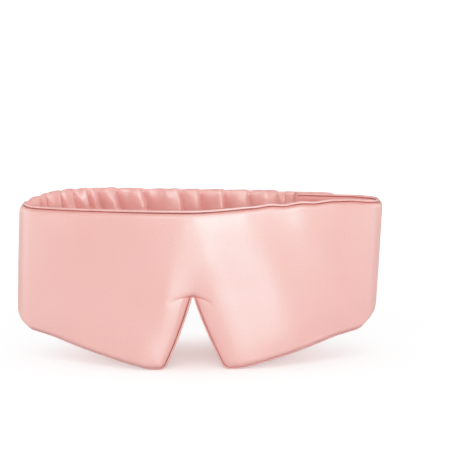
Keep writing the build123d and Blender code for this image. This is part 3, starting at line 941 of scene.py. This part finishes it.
def sleeve_points():
    """Rings of points round the strap, from its foot up the outer face and down the inner face, for each
    station. Also the stations, each point's height, and how much shade is painted on the cloth there."""
    along = np.arange(FIRST_STATION, STRAP_RUN.length + 2.0, STATION)[None, :]
    turn = (np.arange(RING) / RING * 2 * math.pi)[:, None]
    level = -np.cos(turn)
    outside = np.sin(turn) >= 0
    x = STRAP_RUN.at(along, 0.0)[0]
    bottom = strap_lower_edge(x) + 0.5
    crown = SLEEVE_TOP + np.interp(x, STRAP_RISE_X, STRAP_RISE)
    height = bottom + (crown - bottom) * (level + 1) / 2
    drift = 1.6 * waves(23, height + 0.2 * along, 3, 22.0, 60.0)
    below = crown - height
    leaning = GATHER_LEAN * (below - 6.5)
    end = STRAP_RUN.length + 8
    inner_edges = np.concatenate([[-13.0], strap_distance(np.array(INNER_GATHERS)), [end]])
    outer_edges = random_gathers(31, -14.0, end + 10, 6.0, 12.5)
    small_edges = random_gathers(37, -14.0, end + 16, 2.6, 6.0)
    openness = INNER_FULLNESS[0] + (INNER_FULLNESS[1] - INNER_FULLNESS[0]) * smooth(0, 14, below)
    inner_place = along + leaning + 0.5 * drift
    inner = gathered(41, inner_edges, inner_place, INNER_CREST, 0.4, INNER_SKEWS, openness)
    outer = gathered(43, outer_edges, along - 0.6 * leaning - drift, OUTER_CREST)
    small = gathered(47, small_edges, along + 0.5 * leaning + 1.5 * drift, SMALL_CREST, 0.3)
    inner_shade = inner_valley_shade(inner_edges, inner_place, below)
    # Shade painted in the valleys, on both faces.
    valley = np.where(outside, OUTER_VALLEY_SHADE * smooth(0.3, 0.95, 1 - outer / OUTER_CREST), inner_shade)
    stand = np.where(outside, outer + 0.45 * small, inner + 0.12 * small)
    stand = stand * (0.86 + 0.14 * waves(53, height + 0.7 * along, 4, 18.0, 45.0))
    quiet = smooth(-1.0, 8.0, along) * (1 - smooth(STRAP_RUN.length - 7, STRAP_RUN.length - 0.5, along))
    stand = stand * quiet
    shoulder = np.sqrt(np.clip(1 - np.abs(level) ** 10, 0, 1))
    painted_shade = valley * quiet * smooth(1.4, 3.4, below)
    core = SLEEVE_CORE - 0.25 * (1 - smooth(0, 8, along)) + 0.75 * smooth(-9, -1, along - STRAP_RUN.length)
    sway = 0.75 * waves(59, along, 5, 9.0, 22.0) * quiet * np.abs(level) ** 5
    inset = strap_middle(along) + sway + np.where(outside, -1, 1) * (core + stand) * shoulder
    edge_crest = gathered(41, inner_edges, along + 0.5 * drift, INNER_CREST, 0.4, INNER_SKEWS)
    edge_crest = edge_crest + 0.3 * gathered(43, outer_edges, along - drift, OUTER_CREST)
    height = height + np.sign(level) * (0.2 * edge_crest * quiet) * np.abs(level) ** 9
    height = np.minimum(height, crown + 0.9)
    return STRAP_RUN.place(np.broadcast_to(along, inset.shape), height, inset), along[0], height, painted_shade


def surface_normals(points):
    """Outward normals of a ring-by-station grid."""
    round_it = np.roll(points, -1, axis=0) - np.roll(points, 1, axis=0)
    ahead = np.gradient(points, axis=1)
    normal = np.cross(ahead, round_it)
    return normal / np.maximum(np.linalg.norm(normal, axis=-1, keepdims=True), 1e-9)


def tube_section(name, slot, points, normals, pattern, painted_shade=None):
    """A closed length of tube from a ring-by-station grid. The normals come from the uncut tube."""
    rings, stations = points.shape[:2]
    order = np.arange(rings * stations).reshape(rings, stations)
    above = np.roll(order, -1, axis=0)
    quads = np.stack([order[:, :-1], order[:, 1:], above[:, 1:], above[:, :-1]], axis=-1).reshape(-1, 4)
    faces = quads.tolist() + [order[:, 0].tolist(), order[::-1, -1].tolist()]
    piece = new_piece(name, points.reshape(-1, 3), faces, slot, pattern.reshape(-1, 2), painted_shade)
    piece.data.normals_split_custom_set_from_vertices(normals.reshape(-1, 3).tolist())
    return piece


# Stretches of the strap: name, first and last distance along it, its two bodies and where it bends.
STRAP_SECTIONS = (
    ("tab_end", FIRST_STATION, 26.0, ("strap_right", "tab_root"), ((0.030, 0.04, 0.0), (0.060, 0.04, 0.0))),
    ("back", 26.0, 139.0, ("strap_left", "strap_right"), ((-0.028, 0.04, 0.0), (0.028, 0.04, 0.0))),
    ("left_end", 139.0, 999.0, ("front_left", "strap_left"), ((-0.12, 0.008, 0.0), (-0.12, 0.030, 0.0))),
)


def cut_strap(name, slot, nodes, along, *grids):
    """Cuts a tube that runs along the whole strap into its three stretches. grids are its points, normals,
    pattern and painted shade. The nodes of the whole strap are those of its back."""
    for stretch, first, last, bodies, bend in STRAP_SECTIONS:
        begin, end = np.searchsorted(along, (first, last))
        part = slice(begin, min(end + 1, len(along)))
        piece = tube_section(f"{name}_{stretch}", slot, *[grid[:, part] for grid in grids])
        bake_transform(piece)
        if stretch == "back":
            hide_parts(*nodes)


def build_sleeve():
    points, along, height, painted_shade = sleeve_points()
    pattern = np.stack([np.broadcast_to(along, height.shape) * SLEEVE_FULLNESS, height], axis=-1)
    nodes = [f"sleeve_{face}_{side}" for face in ("outer", "inner") for side in ("left", "right")]
    cut_strap("ruched_sleeve", "rose_satin", nodes, along, points, surface_normals(points), pattern, painted_shade)


def build_elastic():
    low, high = node_box("elastic_band_left")
    along = np.arange(FIRST_STATION, STRAP_RUN.length - 2.0, 1.5)
    turn = (np.arange(36) / 36 * 2 * math.pi)[:, None]
    level = -np.cos(turn)
    height = (low[2] + high[2]) / 2 + level * (high[2] - low[2]) / 2
    shoulder = np.clip(1 - np.abs(level) ** 12, 0, 1) ** 0.5
    inset = strap_middle(along) + np.where(np.sin(turn) >= 0, -0.5, 0.5) * ELASTIC * shoulder
    height, inset, where = np.broadcast_arrays(height, inset, along)
    points = STRAP_RUN.place(where, height, inset)
    pattern = np.stack([where, height], axis=-1)
    nodes = ["elastic_band_left", "elastic_band_right"]
    cut_strap("elastic_band", "elastic_webbing", nodes, along, points, surface_normals(points), pattern)


# ---- Flat pieces of the closure ----
def rounded_outline(box, corners, shrink):
    """Points round a rectangle (low and high along, low and high height) with its own radius at each
    corner."""
    low_x, high_x, low_z, high_z = box[0] + shrink, box[1] - shrink, box[2] + shrink, box[3] - shrink
    arcs = []
    places = ((low_x, low_z, 180), (high_x, low_z, 270), (high_x, high_z, 0), (low_x, high_z, 90))
    for (x, z, start), radius in zip(places, corners):
        r = max(radius - shrink, 0.25)
        centre_x = x + (r if x == low_x else -r)
        centre_z = z + (r if z == low_z else -r)
        angle = np.radians(start + np.linspace(0, 90, 9))
        arcs.append(np.stack([centre_x + r * np.cos(angle), centre_z + r * np.sin(angle)], axis=-1))
    share = np.linspace(0, 1, 14)[1:-1, None]
    sides = [arc[-1] + (arcs[(k + 1) % 4][0] - arc[-1]) * share for k, arc in enumerate(arcs)]
    return np.concatenate([part for pair in zip(arcs, sides) for part in pair])


def fasten(piece, body, *nodes):
    """Turns a closed piece's faces outwards and lets it ride."""
    shape = bmesh.new()
    shape.from_mesh(piece.data)
    bmesh.ops.recalc_face_normals(shape, faces=shape.faces)
    shape.to_mesh(piece.data)
    shape.free()
    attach(piece, body)
    if nodes:
        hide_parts(*nodes)


def pad(name, slot, body, node, box, corners, rings, unevenness=0.0, seed=1):
    """A closed flat piece in a CAD node's place. rings are (shrink of the outline, depth) pairs that run
    from the middle of its outer face, over its edge, to the middle of its inner face."""
    loops = [rounded_outline(box, corners, shrink) for shrink, depth in rings]
    flat = np.concatenate(loops)
    depth = np.repeat([depth for shrink, depth in rings], len(loops[0]))
    sway = unevenness * waves(seed, flat[:, 1] + 0.5 * flat[:, 0], 4, 6.0, 17.0)
    points = on_closure(flat[:, 0], flat[:, 1], depth + sway)
    piece = new_piece(name, points, closed_tube(len(rings), len(loops[0])), slot, flat)
    fasten(piece, body, node)


def flat_box(node):
    """A closure node's lowest and highest distance along the closure, and its lowest and highest height."""
    corners = np.array([vertex.co for vertex in frame["nodes"][node].data.vertices]) / MM
    along = (corners - CLOSURE) @ TAB_AXIS
    return along.min(), along.max(), corners[:, 2].min(), corners[:, 2].max()


def islands(node):
    """The corners of each separate solid of a CAD node."""
    shape = bmesh.new()
    shape.from_mesh(frame["nodes"][node].data)
    bmesh.ops.remove_doubles(shape, verts=shape.verts, dist=1e-6)
    seen, found = set(), []
    for start in shape.verts:
        group = []
        waiting = [start]
        while waiting:
            vertex = waiting.pop()
            if vertex not in seen:
                seen.add(vertex)
                group.append(vertex.co.copy())
                waiting += [edge.other_vert(vertex) for edge in vertex.link_edges]
        if group:
            found.append(np.array(group) / MM)
    shape.free()
    return found


def join_tubes(name, slot, body, tubes, patterns, *nodes):
    """One piece of many closed tubes, each given as rings of points and their places on the cloth."""
    count, rings, sides = np.shape(tubes)[:3]
    faces = [face for k in range(count) for face in closed_tube(rings, sides, k * rings * sides)]
    piece = new_piece(name, np.reshape(tubes, (-1, 3)), faces, slot, np.reshape(patterns, (-1, 2)))
    fasten(piece, body, *nodes)


def around(sides):
    """Cosines and sines of even turns round a tube."""
    angle = 2 * math.pi * np.arange(sides) / sides
    return np.cos(angle), np.sin(angle)


# A stitch's half thickness, from end to end.
STITCH_SHARES = np.array([-0.5, -0.47, -0.38, -0.2, 0.0, 0.2, 0.38, 0.47, 0.5])
STITCH_RADII = np.array([0.08, 0.2, 0.27, 0.3, 0.31, 0.3, 0.27, 0.2, 0.08])


def build_threads(node, body, sink):
    """Rounded stitches in the places of a CAD node's stitches, drawn a little into the cloth at their
    ends."""
    upwards = np.array([0.0, 0.0, 1.0])
    tubes, patterns = [], []
    bow = sink * (np.abs(STITCH_SHARES) * 2) ** 3
    cosine, sine = around(8)
    for corners in islands(node):
        middle = corners.mean(axis=0)
        spread, rise = np.ptp(corners @ TAB_AXIS), np.ptp(corners[:, 2])
        ahead, side = (upwards, TAB_AXIS) if rise > spread else (TAB_AXIS, upwards)
        run = max(spread, rise) * STITCH_SHARES
        line = middle + run[:, None] * ahead + bow[:, None] * INWARD
        ring = cosine[:, None] * side + sine[:, None] * INWARD
        tubes.append(line[:, None] + STITCH_RADII[:, None, None] * ring)
        turn = STITCH_RADII[:, None] * 2 * math.pi * np.arange(8) / 8
        patterns.append(np.stack([np.broadcast_to(run[:, None] + middle[2], turn.shape), turn], axis=-1))
    join_tubes(node + "_thread", "sewing_thread", body, tubes, patterns, node)


HOOK_PITCH = 1.5
HOOK_RADII = np.array([0.14, 0.12, 0.26, 0.22, 0.08])
HOOK_HEIGHTS = np.array([-0.05, 0.3, 0.38, 0.52, 0.58])


def build_hooks(box, depth, body):
    """Small mushroom-headed hooks in rows."""
    tubes, patterns = [], []
    cosine, sine = around(6)
    for along in np.arange(box[0] + 2.2, box[1] - 1.8, HOOK_PITCH):
        for height in np.arange(box[2] + 2.2, box[3] - 1.8, HOOK_PITCH):
            x = along + HOOK_RADII[:, None] * cosine
            z = height + HOOK_RADII[:, None] * sine
            tubes.append(on_closure(x, z, depth + HOOK_HEIGHTS[:, None]))
            patterns.append(np.stack([x, z], axis=-1))
    join_tubes("hook_tape_hooks", "hook_tape", body, tubes, patterns)


PILE_PITCH = 1.7
PILE_REACH = 0.75
PILE_HEIGHT = 0.42
YARN = 0.1


def build_pile(box, depth, body):
    """Small arches of yarn that lean every way."""
    draw = np.random.default_rng(61)
    tubes, patterns = [], []
    cosine, sine = around(4)
    turn = np.linspace(0, math.pi, 6)[:, None]
    swing = (PILE_REACH + YARN * cosine) * np.cos(turn)
    rise = (PILE_HEIGHT + YARN * cosine) * np.sin(turn)
    for along in np.arange(box[0] + 1.6, box[1] - 1.4, PILE_PITCH):
        for height in np.arange(box[2] + 1.6, box[3] - 1.4, PILE_PITCH):
            x = along + 0.5 * draw.random()
            z = height + 0.5 * draw.random()
            heading = math.pi * draw.random()
            x = x + swing * math.cos(heading) - YARN * sine * math.sin(heading)
            z = z + swing * math.sin(heading) + YARN * sine * math.cos(heading)
            tubes.append(on_closure(x, z, depth - rise))
            patterns.append(np.stack([x, z], axis=-1))
    join_tubes("loop_tape_pile", "loop_tape", body, tubes, patterns)


SQUARE_CORNERS = (0.5, 0.5, 0.5, 0.5)
TAB_CORNERS = (0.5, 12.0, 12.0, 0.5)
TAPE_CORNERS = (3.0, 3.0, 3.0, 3.0)
# Sections of the flat pieces: how far the outline shrinks, and the depth there, from the outer face to the
# inner.
ROOT_SECTION = (
    (3.2, -0.1), (2.0, -0.06), (1.0, 0.0), (0.35, 0.2), (0.0, 0.6), (0.0, 1.8),
    (0.35, 2.2), (0.9, 2.75), (1.6, 3.2), (2.4, 3.5), (3.2, 3.62),
)
TAB_SECTION = (
    (14.0, -0.22), (10.0, -0.22), (6.0, -0.16), (3.5, -0.06), (2.4, 0.03), (1.5, 0.0), (0.7, 0.1),
    (0.2, 0.38), (0.0, 0.8), (0.0, 1.18), (0.55, 1.19), (0.62, 0.84), (4.0, 0.8), (14.0, 0.8),
)
INTERLINING_SECTION = (
    (14.0, 0.86), (4.0, 0.86), (1.2, 0.88), (0.8, 0.98), (0.8, 1.42), (1.2, 1.52), (4.0, 1.54), (14.0, 1.54),
)
HOOK_TAPE_SECTION = (
    (12.0, 2.44), (1.0, 2.44), (0.1, 2.5), (0.0, 2.62), (0.1, 2.8), (0.4, 2.86), (2.0, 2.86), (12.0, 2.86),
)
# Depths here are measured back from the face of the loop end.
LOOP_TAPE_SECTION = (
    (14.0, -0.65), (2.0, -0.65), (0.5, -0.62), (0.1, -0.5),
    (0.0, -0.3), (0.1, -0.12), (0.5, -0.08), (14.0, -0.08),
)


def build_closure():
    root = flat_box("tab_root_satin")
    shape = (root, SQUARE_CORNERS, ROOT_SECTION)
    pad("tab_root_cover", "rose_satin", "tab_root", "tab_root_satin", *shape, unevenness=0.06, seed=67)
    build_threads("tab_root_stitches", "tab_root", 0.22)

    tab = flat_box("tab_outer_satin")
    inner = [(shrink, min(TAB - depth, TAB + 0.02)) for shrink, depth in TAB_SECTION[::-1]]
    tab_layers = (
        ("tab_outer_cover", "rose_satin", "tab_outer_satin", TAB_SECTION, 0.05),
        ("tab_inner_cover", "satin_lining", "tab_inner_satin", inner, 0.0),
        ("tab_interlining_sheet", "interlining", "tab_interlining", INTERLINING_SECTION, 0.0),
    )
    for name, slot, node, section, unevenness in tab_layers:
        pad(name, slot, "closing_tab", node, tab, TAB_CORNERS, section, unevenness, 71)

    hooks = flat_box("hook_tape")
    pad("hook_tape_base", "hook_tape", "closing_tab", "hook_tape", hooks, TAPE_CORNERS, HOOK_TAPE_SECTION)
    build_hooks(hooks, HOOK_TAPE_SECTION[-1][1], "closing_tab")
    build_threads("hook_tape_stitches", "closing_tab", 0.25)

    face = TAB + TAPE + TAPE_GAP + TAPE
    section = [(shrink, face + depth) for shrink, depth in LOOP_TAPE_SECTION]
    loops = flat_box("loop_tape")
    pad("loop_tape_base", "loop_tape", "loop_end", "loop_tape", loops, TAPE_CORNERS, section)
    build_pile(loops, section[0][1], "loop_end")
    build_threads("loop_tape_stitches", "loop_end", -0.2)


# ---- Padded loop end ----
LOOP_ROWS = 44
LOOP_COLUMNS = 96
LOOP_END_SHADE = 0.35  # shade painted on its lining, because it lies in the shade of the front
FILLING_SET_BACK = 2.35


def loop_end_edges(along):
    """Heights of its top and lower seam."""
    bottom = strap_lower_edge(LOOP_RUN.at(along, 0.0)[0]) + PIPING / 2
    return SEAM_TOP + FOLD_RISE * (1 - smooth(0, 22, along)), bottom


def loop_end_grid(margin):
    """Distance along the loop end and height, row by row from its lower edge up, and the two edges."""
    along = crowded(LOOP_COLUMNS, 0.5) * (LOOP_RUN.length - margin)
    top, bottom = loop_end_edges(along)
    bottom = bottom + margin
    top = top - margin
    height = bottom + (top - bottom) * crowded(LOOP_ROWS, 0.75)[:, None]
    return np.broadcast_to(along, height.shape), height, bottom, top


def loop_end_half(along, height, bottom, top):
    """Half thickness of the padded end: rounded towards its two seams and its tip."""
    gap = np.minimum(height - bottom, top - height)
    tip = LOOP_RUN.length - along
    return SEAM_HALF + (LOOP_END / 2 - SEAM_HALF) * roll(gap / 3.2) * roll((tip + 0.15) / 3.0)


def bend_loop_end(piece, node):
    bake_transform(piece)
    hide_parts(node)


def build_loop_end():
    along, height, bottom, top = loop_end_grid(SET_BACK)
    half = loop_end_half(along, height, bottom, top)
    faces = grid_faces(*along.shape)
    pattern = np.stack([along, height], axis=-1).reshape(-1, 2)
    curved = 1 - smooth(LOOP_RUN.length - 40, LOOP_RUN.length - 32, along)
    soft = 0.16 * waves(73, along + 0.4 * height, 5, 9.0, 28.0) * smooth(2, 10, along) * curved
    outer = LOOP_RUN.place(along, height, LOOP_END / 2 - half - soft).reshape(-1, 3)
    inner = LOOP_RUN.place(along, height, LOOP_END / 2 + half + 1.6 * soft).reshape(-1, 3)
    gap = np.minimum(height - bottom, top - height)
    # Shade painted along the two seams.
    painted_shade = SEAM_SHADE * np.exp(-((gap / SEAM_SHADE_WIDTH) ** 2))
    cover = new_piece("loop_end_outer_cover", outer, faces, "rose_satin", pattern, painted_shade)
    bend_loop_end(thicken(cover), "loop_end_outer_satin")
    shade = np.maximum(painted_shade, LOOP_END_SHADE)
    lining = new_piece("loop_end_lining_cover", inner, faces[:, ::-1], "satin_lining", pattern, shade)
    bend_loop_end(thicken(lining), "loop_end_lining")

    along, height = loop_end_grid(FILLING_SET_BACK)[:2]
    half = loop_end_half(along, height, bottom, top) - 0.8
    points = [LOOP_RUN.place(along, height, LOOP_END / 2 + sign * half).reshape(-1, 3) for sign in (-1, 1)]
    pattern = np.stack([along, height], axis=-1).reshape(-1, 2)
    solid = closed_pad(faces, len(pattern))
    pattern = np.tile(pattern, (2, 1))
    filling = new_piece("loop_end_filling", np.concatenate(points), solid, "wadding", pattern)
    bend_loop_end(filling, "loop_end_wadding")

    run = np.linspace(0, LOOP_RUN.length - 0.6, 110)
    top, bottom = loop_end_edges(run)
    for name, edge, inward in (("top", top, -1.0), ("lower", bottom, 1.0)):
        line = LOOP_RUN.place(run, edge, LOOP_END / 2)
        cord = piping(f"loop_end_{name}_cord", line, np.tile([0.0, 0.0, inward], (len(run), 1)))
        bend_loop_end(cord, f"loop_end_{name}_piping")


build_sleeve()
build_elastic()
build_closure()
build_loop_end()


# ---- Floor, light and camera ----
FLOOR_HALF = 20000.0
FLOOR_LEVEL = -0.02
FLOOR_BOUNCE = (0.65, 0.74, 0.76, 1.0)
FLOOR_SEEN = (1.0, 0.80, 0.74, 1.0)
FLOOR_GLOW = (0.66, 1.2)  # near the mask, and far away
FLOOR_GLOW_COLOUR = (0.80, 1.0, 1.06, 1.0)
FLOOR_NEAR, FLOOR_FAR = 0.2, 1.4  # metres from the mask
FLOOR_SHADE = 0.42  # how much less it glows right under the mask
SHADE_SQUEEZE = (0.45, 1.0, 1.0)  # the shade is longer than it is wide
SHADE_REACH = (0.01, 0.085)


def build_floor():
    points = [(x * FLOOR_HALF, y * FLOOR_HALF, FLOOR_LEVEL) for x, y in ((-1, -1), (1, -1), (1, 1), (-1, 1))]
    look = Look("floor")
    camera_ray = look.add("ShaderNodeLightPath")
    look.set(Base_Color=look.mix(camera_ray, FLOOR_BOUNCE, FLOOR_SEEN), Roughness=0.9)
    place = look.add("ShaderNodeTexCoord", output=3)
    away = look.add("ShaderNodeVectorMath", {0: place}, output=1, operation="LENGTH")
    far = look.add("ShaderNodeMapRange", {"Value": away, "From Min": FLOOR_NEAR, "From Max": FLOOR_FAR})
    flat = look.add("ShaderNodeMapping", {"Vector": place, "Scale": SHADE_SQUEEZE})
    under = look.add("ShaderNodeVectorMath", {0: flat}, output=1, operation="LENGTH")
    shade = look.math("MULTIPLY", look.fade(under, *SHADE_REACH), FLOOR_SHADE)
    seen = look.math("MULTIPLY", camera_ray, look.math("SUBTRACT", look.between(far, *FLOOR_GLOW), shade))
    look.set(**{"Specular IOR Level": 0.1, "Emission Color": FLOOR_GLOW_COLOUR, "Emission Strength": seen})
    new_piece("floor", points, [(0, 1, 2, 3)], None, material=look.material)


# Softboxes round the mask: name, azimuth, elevation, distance, width and height in metres, and power.
SOFTBOXES = (
    ("right", 58.0, 16.0, 1.45, (0.60, 0.90), 1.5),
    ("left", -58.0, 16.0, 1.45, (0.70, 0.90), 1.5),
    ("far_right", 88.0, 16.0, 1.45, (0.60, 0.90), 3.0),
    ("far_left", -88.0, 16.0, 1.45, (0.70, 0.90), 3.8),
    ("behind_right", 128.0, 22.0, 1.45, (0.60, 1.10), 2.2),
    ("behind_left", -128.0, 22.0, 1.45, (0.60, 1.10), 2.2),
    ("top", 0.0, 50.0, 1.50, (1.40, 0.55), 6.6),
)
# The key light is a stack of tall softboxes with one common left edge, so it ends sharply there and fades
# to the right. Each step is the azimuth of a right edge, and its brightness in watts for a square metre.
KEY_LEFT_EDGE = 2.0
KEY_STEPS = ((7.0, 9.5), (11.0, 10.0), (15.0, 8.0), (19.0, 4.2), (24.0, 2.0), (30.0, 1.0), (38.0, 0.5))
KEY_ELEVATION = 11.0
KEY_DISTANCE = 1.45
KEY_HEIGHT = 0.75
SKY_COLOUR = (1.0, 0.99, 0.985, 1.0)
SKY_STRENGTH = 0.36
# The picture's tone curve, which rolls bright pinks off softly.
WHITE_LEVEL = 1.3
TONE_CURVE = ((0.3, 0.39), (0.6, 0.78), (0.78, 0.94))


def outwards(azimuth, elevation):
    """A unit vector away from the mask. Azimuth 0 is straight ahead of its front."""
    turn, rise = math.radians(azimuth), math.radians(elevation)
    return Vector((math.sin(turn) * math.cos(rise), -math.cos(turn) * math.cos(rise), math.sin(rise)))


def softbox(name, azimuth, elevation, distance, size, power):
    lamp = bpy.data.lights.new(name, "AREA")
    lamp.shape = "RECTANGLE"
    lamp.size, lamp.size_y = size
    lamp.energy = power
    out = outwards(azimuth, elevation)
    holder = bpy.data.objects.new(name, lamp)
    holder.location = out * distance + Vector((0.0, 0.0, TOP / 2 * MM))
    holder.rotation_mode = "QUATERNION"
    holder.rotation_quaternion = out.to_track_quat("Z", "Y")
    holder.visible_camera = False
    bpy.context.scene.collection.objects.link(holder)


def build_light():
    world = bpy.data.worlds.new("studio")
    world.use_nodes = True
    sky = world.node_tree.nodes["Background"]
    sky.inputs["Color"].default_value = SKY_COLOUR
    sky.inputs["Strength"].default_value = SKY_STRENGTH
    bpy.context.scene.world = world
    for box in SOFTBOXES:
        softbox(*box)
    for right_edge, brightness in KEY_STEPS:
        middle = (KEY_LEFT_EDGE + right_edge) / 2
        width = 2 * KEY_DISTANCE * math.tan(math.radians(right_edge - middle))
        place = (middle, KEY_ELEVATION, KEY_DISTANCE)
        softbox(f"key_{right_edge:.0f}", *place, (width, KEY_HEIGHT), brightness * width * KEY_HEIGHT)
    view = bpy.context.scene.view_settings
    view.view_transform = "Standard"
    view.use_curve_mapping = True
    shoulder = view.curve_mapping
    shoulder.white_level = (WHITE_LEVEL, WHITE_LEVEL, WHITE_LEVEL)
    curve = shoulder.curves[3]
    curve.points[1].location = (1.0, 1.0)
    for place in TONE_CURVE:
        curve.points.new(*place)
    shoulder.update()


CAMERA_AZIMUTH = 4.17
CAMERA_ELEVATION = 10.76
CAMERA_ROLL = -1.11
CAMERA_DISTANCE = 1000.0
CAMERA_TARGET = (23.5, 0.0, 90.3)
CAMERA_LENS = 113.7


def build_camera():
    back = outwards(CAMERA_AZIMUTH, CAMERA_ELEVATION)
    lens = bpy.data.cameras.new("camera")
    lens.lens = CAMERA_LENS
    lens.clip_start, lens.clip_end = 0.05, 100.0
    camera = bpy.data.objects.new("camera", lens)
    camera.location = (Vector(CAMERA_TARGET) + back * CAMERA_DISTANCE) * MM
    camera.rotation_mode = "QUATERNION"
    roll_turn = Quaternion((0, 0, 1), math.radians(CAMERA_ROLL))
    camera.rotation_quaternion = (-back).to_track_quat("-Z", "Y") @ roll_turn
    bpy.context.scene.collection.objects.link(camera)
    bpy.context.scene.camera = camera


build_floor()
build_light()
build_camera()
